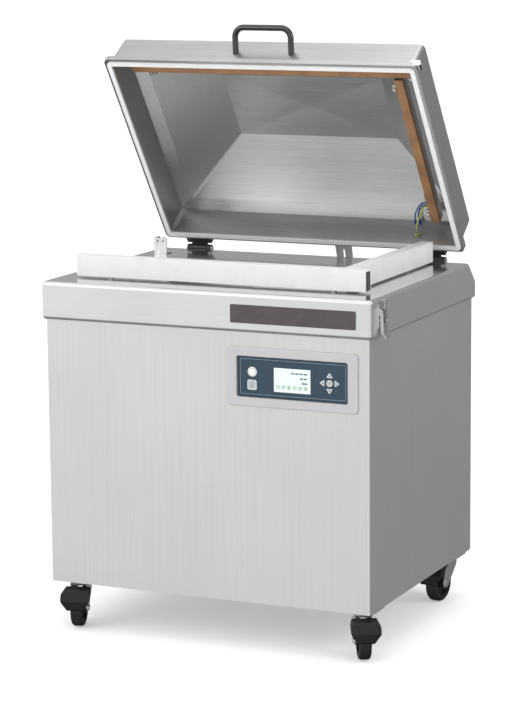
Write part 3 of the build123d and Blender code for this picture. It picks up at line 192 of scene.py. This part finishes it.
def painted(name, colour, roughness, metallic=0.0):
    """Coated metal: orange peel and slightly worn gloss."""
    looks = Looks(name, colour, roughness, metallic, Coat_Weight=0.25, Coat_Roughness=0.2)
    peel = looks.noise(420, 2)
    wear = looks.noise(24, 6)
    looks.tint(wear, 0.8, 1.25)
    looks.rough(wear, 0.1)
    return looks.bump(peel, 0.00004).material


def table_steel():
    """Table cap: polished where it faces up, grained on the band round it."""
    looks = Looks("table_steel", (0.72, 0.72, 0.71), 0.36, 0.92)
    grain = looks.noise(GRAIN_SCALE, 3, GRAIN["X"])
    smear = looks.noise(4, 3)
    streaks = looks.noise(STREAK_SCALE, 4, GRAIN["X"])
    looks.tint(looks.blend(streaks, smear, 0.5), 0.96, 1.04, CLOUD_START, CLOUD_END)
    split = looks.add("ShaderNodeSeparateXYZ")
    looks.link(looks.facing, split.inputs["Vector"])
    top = looks.remap(split.outputs["Z"], 0.0, 1.0, 0.85, 0.97)
    band = looks.remap(grain, 0.30, 0.44)
    mix = looks.add("ShaderNodeMix")
    looks.link(top, mix.inputs["Factor"])
    looks.link(band, mix.inputs["A"])
    mix.inputs["B"].default_value = 0.13
    looks.link(mix.outputs["Result"], looks.shader.inputs["Roughness"])
    looks.bump(grain, 0.000012)
    return looks.bump(smear, 0.0002).material


def white_silicone(name, colour, roughness):
    """White rubber or plastic that lets a little light in, faintly soiled."""
    depth = (0.004, 0.004, 0.004)
    looks = Looks(name, colour, roughness, 0.0, Subsurface_Weight=0.08, Subsurface_Radius=depth)
    soil = looks.noise(26, 5)
    looks.tint(soil, 0.95, 1.02)
    looks.rough(soil, 0.06)
    return looks.bump(looks.noise(1400, 2), 0.00001).material


def glass_cloth(name):
    """Non-stick tape: fine woven cloth under a brown film, scorched in patches."""
    looks = Looks(name, (0.36, 0.185, 0.085), 0.42, 0.0)
    scorch = looks.noise(18, 5)
    looks.tint(scorch, 0.72, 1.2)
    weave = []
    for direction in ("X", "Y", "Z"):
        wave = looks.add("ShaderNodeTexWave")
        wave.bands_direction = direction
        wave.inputs["Scale"].default_value = 400
        looks.link(looks.place, wave.inputs["Vector"])
        weave.append(wave.outputs["Fac"])
    for threads in weave:
        looks.bump(threads, 0.00002)
    return looks.rough(scorch, 0.1).material


def cast_paint(name, colour):
    """Thick paint on a rough casting."""
    looks = Looks(name, colour, 0.5, 0.1)
    looks.tint(looks.noise(14, 6), 0.7, 1.2)
    looks.rough(looks.noise(50, 4), 0.12)
    return looks.bump(looks.noise(260, 5), 0.00025).material


def striped_lead():
    """Earth lead: green with a yellow stripe winding round it."""
    looks = Looks("earth_lead", (0.78, 0.72, 0.02), 0.4)
    wave = looks.add("ShaderNodeTexWave")
    wave.inputs["Scale"].default_value = 90
    looks.link(looks.place, wave.inputs["Vector"])
    ramp = looks.add("ShaderNodeValToRGB")
    ramp.color_ramp.elements[0].position = 0.28
    ramp.color_ramp.elements[1].position = 0.36
    ramp.color_ramp.elements[0].color = (0.05, 0.3, 0.05, 1)
    ramp.color_ramp.elements[1].color = (0.8, 0.74, 0.03, 1)
    looks.link(wave.outputs["Fac"], ramp.inputs["Fac"])
    looks.link(ramp.outputs["Color"], looks.shader.inputs["Base Color"])
    return looks.bump(looks.noise(900, 2), 0.00001).material


FINISH = {
    "cabinet_steel": brushed("cabinet_steel", (0.70, 0.70, 0.69), 0.42, "Z"),
    "base_steel": brushed("base_steel", (0.58, 0.58, 0.57), 0.4, "X"),
    "table_steel": table_steel(),
    "hood_steel": brushed("hood_steel", (0.47, 0.47, 0.465), 0.33, "X", 1.09),
    "handle_steel": polished("handle_steel", (0.09, 0.09, 0.095), 0.26),
    "small_steel": polished("small_steel", (0.72, 0.72, 0.73), 0.16),
    "plate_grey": moulded(
        "plate_grey", (0.080, 0.066, 0.070), 0.42, 1600, 0.000006, Specular_IOR_Level=0.3,
    ),
    "bezel_grey": moulded(
        "bezel_grey", (0.52, 0.52, 0.53), 0.42, 1500, 0.00001, dirt=0.03, Metallic=0.3,
    ),
    "face_blue": moulded(
        "face_blue", (0.030, 0.058, 0.086), 0.4, 2200, 0.000005, dirt=0.05, Specular_IOR_Level=0.3,
    ),
    "display_white": moulded(
        "display_white", (0.74, 0.84, 0.84), 0.2, 2600, 0.000002, dirt=0.02, Coat_Weight=0.3,
    ),
    "key_white": moulded("key_white", (0.80, 0.78, 0.74), 0.36, 2200, 0.000006, dirt=0.03),
    "key_grey": moulded("key_grey", (0.55, 0.57, 0.58), 0.4, 2200, 0.000006, dirt=0.04),
    "board_green": moulded("board_green", (0.02, 0.13, 0.05), 0.45),
    "gasket_white": white_silicone("gasket_white", (0.80, 0.80, 0.795), 0.42),
    "bar_white": white_silicone("bar_white", (0.80, 0.80, 0.795), 0.36),
    "silicone_white": white_silicone("silicone_white", (0.84, 0.84, 0.83), 0.5),
    "seal_aluminium": brushed("seal_aluminium", (0.62, 0.62, 0.62), 0.36, "X", 1.06),
    "tape_brown": glass_cloth("tape_brown"),
    "hinge_black": painted("hinge_black", (0.022, 0.022, 0.024), 0.4),
    "spring_black": painted("spring_black", (0.012, 0.012, 0.012), 0.25),
    "zinc": brushed("zinc", (0.64, 0.65, 0.66), 0.3, "Z", 1.12, 0.00002, 0.95),
    "wheel_black": moulded(
        "wheel_black", (0.014, 0.014, 0.015), 0.5, 900, 0.00004, Specular_IOR_Level=0.3,
    ),
    "pedal_black": moulded(
        "pedal_black", (0.009, 0.009, 0.009), 0.42, 1500, 0.00002, Specular_IOR_Level=0.3,
    ),
    "pump_paint": cast_paint("pump_paint", (0.08, 0.15, 0.24)),
    "motor_paint": cast_paint("motor_paint", (0.22, 0.24, 0.27)),
    "hose_black": moulded("hose_black", (0.022, 0.022, 0.022), 0.5, 600, 0.00006),
    "transformer_iron": cast_paint("transformer_iron", (0.22, 0.13, 0.07)),
    "gland_black": moulded("gland_black", (0.02, 0.02, 0.02), 0.4),
    "lead_blue": moulded("lead_blue", (0.015, 0.06, 0.30), 0.36, 900, 0.00001),
    "lead_earth": striped_lead(),
    "lead_black": moulded("lead_black", (0.012, 0.012, 0.012), 0.4, 900, 0.00001),
    "sleeve_red": moulded("sleeve_red", (0.62, 0.03, 0.015), 0.36, 900, 0.00001),
}
for entry in frame["record"]["subparts"]:
    data = NODES[entry["node"]].data
    data.materials.clear()
    data.materials.append(FINISH[entry["material_slot"]])


# ---- small pieces that the CAD leaves out ----
def piece(name, mesh_maker, slot_name, body, material=None):
    """A new mesh object, made by a function that fills a bmesh, riding on a CAD body."""
    bm = bmesh.new()
    mesh_maker(bm)
    bmesh.ops.recalc_face_normals(bm, faces=bm.faces)
    mesh = bpy.data.meshes.new(name)
    bm.to_mesh(mesh)
    bm.free()
    obj = bpy.data.objects.new(name, mesh)
    bpy.context.scene.collection.objects.link(obj)
    mesh.materials.append(material or FINISH[slot_name])
    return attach(obj, body)


def rounded_outline(x, z, wide, high, radius, steps=6):
    """Corner points of a rounded rectangle in the XZ plane."""
    points = []
    for corner in range(4):
        start = corner * math.pi / 2
        sign_x = 1 if corner in (0, 3) else -1
        sign_z = 1 if corner in (0, 1) else -1
        for step in range(steps + 1):
            turn = start + step / steps * math.pi / 2
            px = x + sign_x * (wide / 2 - radius) + radius * math.cos(turn)
            pz = z + sign_z * (high / 2 - radius) + radius * math.sin(turn)
            points.append((px, pz))
    return points


def add_plate(bm, points, front, back, edge=0.0):
    """A thin plate facing -Y, with a small bevelled front edge."""
    verts = [bm.verts.new((px, back, pz)) for px, pz in points]
    face = bm.faces.new(verts)
    bmesh.ops.recalc_face_normals(bm, faces=[face])
    result = bmesh.ops.extrude_face_region(bm, geom=[face])
    moved = [v for v in result["geom"] if isinstance(v, bmesh.types.BMVert)]
    bmesh.ops.translate(bm, verts=moved, vec=(0, front - back, 0))
    if edge:
        rim = [e for e in bm.edges if all(v in moved for v in e.verts)]
        bmesh.ops.bevel(bm, geom=rim, offset=edge, segments=2, affect="EDGES")


def add_frame(bm, outer, inner, front, back):
    """A thin flat frame between two outlines with the same number of points."""
    rings = []
    for points, y in ((outer, back), (outer, front), (inner, front), (inner, back)):
        rings.append([bm.verts.new((px, y, pz)) for px, pz in points])
    count = len(outer)
    for a, b in zip(rings, rings[1:] + rings[:1]):
        for i in range(count):
            j = (i + 1) % count
            bm.faces.new((a[i], a[j], b[j], b[i]))


def add_disc(bm, x, z, radius, front, back, steps=28):
    points = []
    for step in range(steps):
        turn = 2 * math.pi * step / steps
        points.append((x + radius * math.cos(turn), z + radius * math.sin(turn)))
    add_plate(bm, points, front, back)


def ring_points(x, z, radius, steps=28):
    return [
        (x + radius * math.cos(2 * math.pi * s / steps), z + radius * math.sin(2 * math.pi * s / steps))
        for s in range(steps)
    ]


# display: a few generic menu bars and a row of ring symbols
screen_low, screen_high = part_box("control_display")
screen_front = screen_low.y
INK = 0.0003
SCREEN_MARGIN = 0.004
ROW_PITCH = 0.012
BAR_HEIGHT = 0.0034
BAR_GAP = 0.002
# width of each line of the menu and the number of bars in it
MENU_ROWS = ((0.046, 4), (0.022, 2), (0.016, 1))
SYMBOLS = 6
SYMBOL_PITCH = 0.0152
window_left = screen_low.x + SCREEN_MARGIN
window_right = screen_high.x - SCREEN_MARGIN
window_low = screen_low.z + SCREEN_MARGIN
window_high = screen_high.z - SCREEN_MARGIN
ink_dark = moulded("ink_dark", (0.08, 0.11, 0.11), 0.5)
ink_green = moulded("ink_green", (0.22, 0.38, 0.16), 0.5)


def menu_bars(bm):
    """Right-aligned lines of plain bars, in place of words."""
    right = window_right - 0.008
    for row, (wide, pieces) in enumerate(MENU_ROWS):
        z = window_high - ROW_PITCH - ROW_PITCH * row
        each = wide / pieces
        for n in range(pieces):
            x = right - wide + each * (n + 0.5)
            size = each - (BAR_GAP if pieces > 1 else 0)
            bar = rounded_outline(x, z, size, BAR_HEIGHT, 0.0012, 3)
            add_plate(bm, bar, screen_front - INK, screen_front + INK)


def symbol_row(bm):
    """A row of plain rings with a dot in each."""
    front = screen_front - INK
    back = screen_front + INK
    z = window_low + 0.013
    for n in range(SYMBOLS):
        x = window_left + 0.011 + n * SYMBOL_PITCH
        add_frame(bm, ring_points(x, z, 0.0052), ring_points(x, z, 0.0040), front, back)
        add_disc(bm, x, z, 0.0016 + 0.0004 * (n % 3), front, back, 12)


piece("display_menu_bars", menu_bars, "face_blue", "cabinet", ink_dark)
piece("display_symbol_row", symbol_row, "key_grey", "cabinet", ink_green)

# face plate: a fine pale line inside its edge
face_low, face_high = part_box("control_face")
face_front = face_low.y
face_x = (face_low.x + face_high.x) / 2
face_z = (face_low.z + face_high.z) / 2
LINE_INSET = 0.014
LINE_WIDTH = 0.0016
line_pale = moulded("line_pale", (0.32, 0.38, 0.42), 0.4)


def face_line(bm):
    wide = face_high.x - face_low.x - LINE_INSET
    high = face_high.z - face_low.z - LINE_INSET
    outer = rounded_outline(face_x, face_z, wide, high, 0.003)
    inner = rounded_outline(face_x, face_z, wide - LINE_WIDTH, high - LINE_WIDTH, 0.0022)
    add_frame(bm, outer, inner, face_front - 0.0002, face_front + 0.0003)


piece("face_border_line", face_line, "face_blue", "cabinet", line_pale)

# keys: rings and plain symbols
icon_grey = moulded("icon_grey", (0.20, 0.21, 0.22), 0.45)


def box_middle(node):
    """The middle of a node's box, and how far forward its front is."""
    low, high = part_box(node)
    return (low + high) / 2, low.y


def menu_symbol(bm):
    middle, front = box_middle("menu_button")
    outer = rounded_outline(middle.x, middle.z, 0.0185, 0.0175, 0.003)
    inner = rounded_outline(middle.x, middle.z, 0.0165, 0.0155, 0.0022)
    add_frame(bm, outer, inner, front - INK, front + INK)
    for row in (-0.0045, 0, 0.0045):
        shape = rounded_outline(middle.x, middle.z + row, 0.011, 0.0022, 0.0008, 3)
        add_plate(bm, shape, front - INK, front + INK)


def stop_symbol(bm):
    middle, front = box_middle("stop_button")
    outer = ring_points(middle.x, middle.z, 0.0098)
    inner = ring_points(middle.x, middle.z, 0.0090)
    add_frame(bm, outer, inner, front - INK, front + INK)


def enter_symbol(bm):
    middle, front = box_middle("enter_key")
    outer = rounded_outline(middle.x, middle.z, 0.0105, 0.0075, 0.0015, 4)
    inner = rounded_outline(middle.x, middle.z, 0.0085, 0.0055, 0.001, 4)
    add_frame(bm, outer, inner, front - INK, front + INK)
    dash = rounded_outline(middle.x, middle.z, 0.005, 0.0018, 0.0006, 3)
    add_plate(bm, dash, front - INK, front + INK)


def arrow_symbols(bm):
    middle, front = box_middle("arrow_pad")
    for quarter in range(4):
        turn = quarter * math.pi / 2
        points = []
        for along, across in ((0.0165, -0.0036), (0.0222, 0), (0.0165, 0.0036)):
            px = middle.x + along * math.cos(turn) - across * math.sin(turn)
            pz = middle.z + along * math.sin(turn) + across * math.cos(turn)
            points.append((px, pz))
        add_plate(bm, points, front - INK, front + INK)


piece("menu_key_symbol", menu_symbol, "key_grey", "key_menu", icon_grey)
piece("stop_key_ring", stop_symbol, "key_white", "key_stop", icon_grey)
piece("enter_key_symbol", enter_symbol, "key_grey", "key_enter", icon_grey)
piece("arrow_key_symbols", arrow_symbols, "key_grey", "key_arrows", icon_grey)


# front counter bar: dark plates of painted shade for the shaded hollows of its core, with the thin web
# between them, at its open right end
bar_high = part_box("counter_bar_front")[1]
strip_low, strip_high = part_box("silicone_strip_front")
# near-black colour is painted shade for the hollows of the core, not the core's own metal
hollow_shade_paint = brushed("hollow_shade_paint", (0.10, 0.10, 0.105), 0.4, "Z", 1.1)
CORE_PROUD = 0.0008
CORE_EDGE = 0.003
WEB_HALF = 0.0015
cad_table_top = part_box("corner_post")[0].z


def slab(low, high):
    """Matrix that makes a unit cube fill the box between two corners."""
    low, high = Vector(low), Vector(high)
    size = high - low
    return Matrix.Translation((low + high) / 2) @ Matrix.Diagonal((*size, 1))


def bar_hollow_shade(bm):
    front = strip_low.y + CORE_EDGE
    back = strip_high.y - CORE_EDGE
    middle = (front + back) / 2
    top = strip_low.z - CORE_EDGE
    bottom = cad_table_top + CORE_EDGE * 2
    near_x = bar_high.x - CORE_PROUD
    far_x = bar_high.x + CORE_PROUD
    # two slabs of painted shade, one for each hollow, with the web left as a gap between them
    for y0, y1 in ((front, middle - WEB_HALF), (middle + WEB_HALF, back)):
        shade_slab = slab((near_x, y0, bottom), (far_x, y1, top))
        bmesh.ops.create_cube(bm, size=1.0, matrix=shade_slab)


piece("counter_bar_hollow_shade", bar_hollow_shade, "seal_aluminium", "counter_front", hollow_shade_paint)


# ---- stage: floor, world and lights ----
def stage_mesh(name, corners, material):
    mesh = bpy.data.meshes.new(name)
    mesh.from_pydata(corners, [], [(0, 1, 2, 3)])
    obj = bpy.data.objects.new(name, mesh)
    bpy.context.scene.collection.objects.link(obj)
    mesh.materials.append(material)
    return obj


FLOOR_HALF = 150
FLOOR_GLOW = 0.36
floor_corners = [(x * FLOOR_HALF, y * FLOOR_HALF, 0) for x, y in ((-1, -1), (1, -1), (1, 1), (-1, 1))]
floor_looks = Looks("floor_paint", (0.9, 0.9, 0.9), 0.7, Specular_IOR_Level=0.2)
floor_looks.tint(floor_looks.noise(0.7, 3), 0.995, 1.005)
floor_looks.shader.inputs["Emission Color"].default_value = (1, 1, 1, 1)
floor_looks.shader.inputs["Emission Strength"].default_value = FLOOR_GLOW
floor = stage_mesh("floor", floor_corners, floor_looks.material)
floor.visible_glossy = False

# the studio's walls: bright in front and on the left, dim behind on the right and low down
world = bpy.data.worlds.new("studio")
world.use_nodes = True
bpy.context.scene.world = world
sky = world.node_tree
background = sky.nodes["Background"]
background.inputs["Color"].default_value = (1, 1, 1, 1)
direction = sky.nodes.new("ShaderNodeTexCoord").outputs["Generated"]


def wall_glow(towards, start, end, low, high):
    """Brightness that rises smoothly from low to high as the view turns towards a direction."""
    dot = sky.nodes.new("ShaderNodeVectorMath")
    dot.operation = "DOT_PRODUCT"
    dot.inputs[1].default_value = towards
    sky.links.new(direction, dot.inputs[0])
    ramp = sky.nodes.new("ShaderNodeMapRange")
    ramp.interpolation_type = "SMOOTHSTEP"
    ramp.inputs["From Min"].default_value = start
    ramp.inputs["From Max"].default_value = end
    ramp.inputs["To Min"].default_value = low
    ramp.inputs["To Max"].default_value = high
    sky.links.new(dot.outputs["Value"], ramp.inputs["Value"])
    return ramp.outputs["Result"]


glow = sky.nodes.new("ShaderNodeMath")
glow.operation = "MULTIPLY"
sky.links.new(wall_glow((-0.45, -0.85, 0.25), -0.8, 0.6, 0.30, 1.12), glow.inputs[0])
sky.links.new(wall_glow((0, 0, 1), -0.75, -0.02, 0.12, 1.0), glow.inputs[1])
sky.links.new(glow.outputs["Value"], background.inputs["Strength"])


def softbox(name, place, target, size, power):
    light = bpy.data.lights.new(name, "AREA")
    light.shape = "RECTANGLE"
    light.size, light.size_y = size
    light.energy = power  # watts
    obj = bpy.data.objects.new(name, light)
    bpy.context.scene.collection.objects.link(obj)
    obj.location = place
    aim = Vector(target) - Vector(place)
    obj.rotation_euler = aim.to_track_quat("-Z", "Y").to_euler()
    obj.visible_camera = False
    return obj


softbox("key", (-3.2, -5.0, 3.4), (0, 0, 0.8), (3.0, 2.4), 45)
softbox("overhead", (0.3, 0.3, 4.6), (0, 0, 0.9), (3.0, 3.0), 30)
softbox("kicker", (3.4, 0.2, 2.3), (0.45, 0.0, 1.3), (1.2, 1.2), 26)

bpy.context.scene.view_settings.view_transform = "Standard"

bpy.context.view_layer.update()
